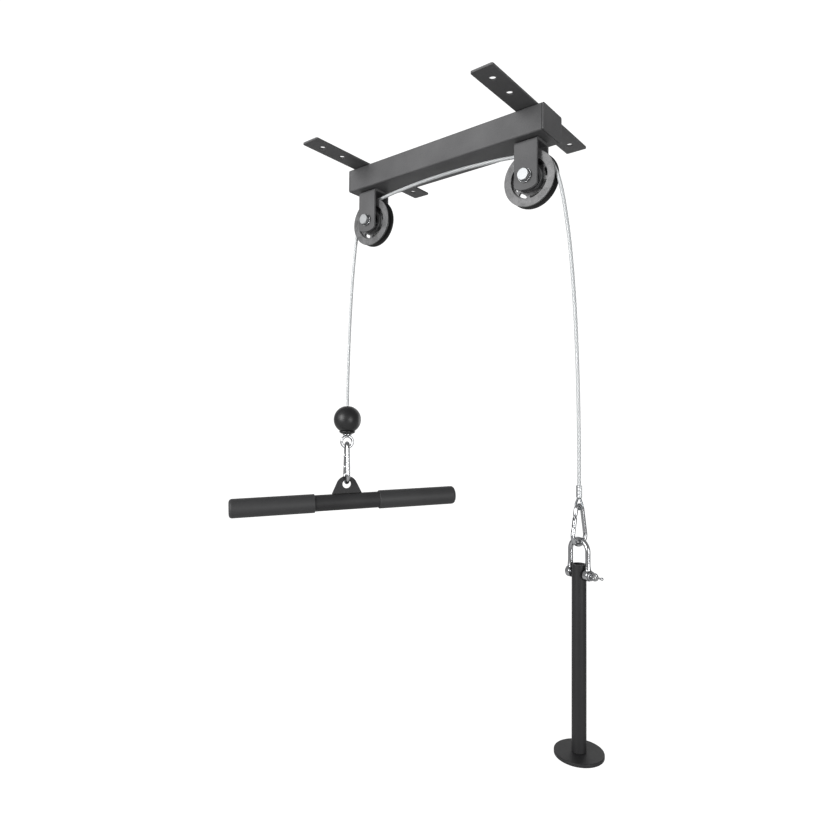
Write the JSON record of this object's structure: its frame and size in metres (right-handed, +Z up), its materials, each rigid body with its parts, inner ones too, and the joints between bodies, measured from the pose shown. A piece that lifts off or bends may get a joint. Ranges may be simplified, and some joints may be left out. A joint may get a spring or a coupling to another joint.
{
  "type": "ceiling pulley system",
  "caption": "Ceiling-mounted cable pulley: steel beam on two straps, twin grooved wheels, bar handle on one cable end and a hanging loading pin on the other.",
  "frame": {"origin": "in the ceiling plane, over the middle of the beam", "axes": "+Z up into the ceiling, +X along the beam towards the weight side, +Y away from the viewer of the picture"},
  "size_m": [0.6279, 0.3609, 0.9182],
  "materials": {
    "powder_coat": "satin black powder coat",
    "bright_zinc": "bright zinc plate",
    "bearing_steel": "ground steel",
    "black_nylon": "moulded nylon",
    "rubber": "satin black rubber",
    "pvc_cable": "clear plastic coat on bright wire rope"
  },
  "bodies": {
    "ceiling_frame": {"beam_tube": "powder_coat", "left_end_plate": "powder_coat", "right_end_plate": "powder_coat", "left_ceiling_strap": "powder_coat", "right_ceiling_strap": "powder_coat", "left_pulley_bracket": "powder_coat", "right_pulley_bracket": "powder_coat", "left_axle_bolt": "bright_zinc", "right_axle_bolt": "bright_zinc", "left_head_washer": "bright_zinc", "right_head_washer": "bright_zinc", "left_nut_washer": "bright_zinc", "right_nut_washer": "bright_zinc", "left_lock_nut": "bright_zinc", "right_lock_nut": "bright_zinc", "left_front_spacer": "bright_zinc", "right_front_spacer": "bright_zinc", "left_rear_spacer": "bright_zinc", "right_rear_spacer": "bright_zinc", "left_bearing_inner_ring": "bearing_steel", "right_bearing_inner_ring": "bearing_steel", "cable_span": "pvc_cable"},
    "left_pulley": {"left_pulley_wheel": "black_nylon", "left_bearing_outer_ring": "bearing_steel"},
    "right_pulley": {"right_pulley_wheel": "black_nylon", "right_bearing_outer_ring": "bearing_steel"},
    "handle_line": {"cable_handle_drop": "pvc_cable", "stopper_ball": "rubber", "stopper_washer": "rubber", "handle_eye": "bright_zinc"},
    "handle_hook_body": {"handle_hook": "bright_zinc", "handle_hook_rivet": "bright_zinc"},
    "handle_gate": {"handle_hook_gate": "bright_zinc"},
    "bar_handle": {"bar_tube": "powder_coat", "bar_lug": "powder_coat", "left_grip": "rubber", "right_grip": "rubber"},
    "weight_line": {"cable_weight_drop": "pvc_cable", "crimp_sleeve": "bright_zinc", "cable_loop": "bright_zinc"},
    "weight_hook_body": {"weight_hook": "bright_zinc", "weight_hook_rivet": "bright_zinc"},
    "weight_gate": {"weight_hook_gate": "bright_zinc"},
    "shackle": {"shackle_bow": "bright_zinc", "shackle_pin": "bright_zinc"},
    "loading_pin": {"loading_pin_tube": "powder_coat", "loading_disc": "powder_coat"}
  },
  "joints": [
    {"name": "weight_lift", "type": "slide", "parent": "ceiling_frame", "child": "weight_line", "axis": [0, 0, 1], "range_m": [-0.31, 0.4], "deforming": ["cable_weight_drop"]},
    {"name": "handle_pull", "type": "slide", "parent": "ceiling_frame", "child": "handle_line", "axis": [0, 0, 1], "range_m": [-0.4, 0.31], "deforming": ["cable_handle_drop"]},
    {"name": "left_pulley_spin", "type": "hinge", "parent": "ceiling_frame", "child": "left_pulley", "pos_m": [-0.16, 0, -0.099], "axis": [0, 1, 0], "range_deg": [-620, 480]},
    {"name": "right_pulley_spin", "type": "hinge", "parent": "ceiling_frame", "child": "right_pulley", "pos_m": [0.16, 0, -0.099], "axis": [0, 1, 0], "range_deg": [-620, 480]},
    {"name": "handle_hook_swing", "type": "hinge", "parent": "handle_line", "child": "handle_hook_body", "pos_m": [-0.22102, 0, -0.5104], "axis": [0.5736, 0.8192, 0], "range_deg": [-60, 60]},
    {"name": "handle_gate_open", "type": "hinge", "parent": "handle_hook_body", "child": "handle_gate", "pos_m": [-0.22983, 0.00617, -0.52778], "axis": [-0.5736, -0.8192, 0], "range_deg": [0, 25], "stiffness_Nm_per_rad": 0.02, "springref_deg": -28.65},
    {"name": "bar_tilt", "type": "hinge", "parent": "handle_hook_body", "child": "bar_handle", "pos_m": [-0.22102, 0, -0.5752], "axis": [-0.8192, 0.5736, 0], "range_deg": [-43, 47]},
    {"name": "weight_hook_swing", "type": "hinge", "parent": "weight_line", "child": "weight_hook_body", "pos_m": [0.23542, 0, -0.5824], "axis": [0.9511, -0.309, 0], "range_deg": [-60, 60]},
    {"name": "weight_gate_open", "type": "hinge", "parent": "weight_hook_body", "child": "weight_gate", "pos_m": [0.23277, -0.00816, -0.59511], "axis": [0.9511, -0.309, 0], "range_deg": [0, 22], "stiffness_Nm_per_rad": 0.012, "springref_deg": -28.65},
    {"name": "shackle_swing", "type": "hinge", "parent": "weight_hook_body", "child": "shackle", "pos_m": [0.23542, 0, -0.6312], "axis": [0.309, 0.9511, 0], "range_deg": [-45, 45]},
    {"name": "loading_pin_swing", "type": "hinge", "parent": "shackle", "child": "loading_pin", "pos_m": [0.23542, 0, -0.6706], "axis": [0.9511, -0.309, 0], "range_deg": [-60, 60]}
  ],
  "couplings": [
    {"joint": "handle_pull", "follows": "weight_lift", "ratio": -1},
    {"joint": "left_pulley_spin", "follows": "weight_lift", "rad_per_m": -26.298},
    {"joint": "right_pulley_spin", "follows": "weight_lift", "rad_per_m": -26.298}
  ]
}
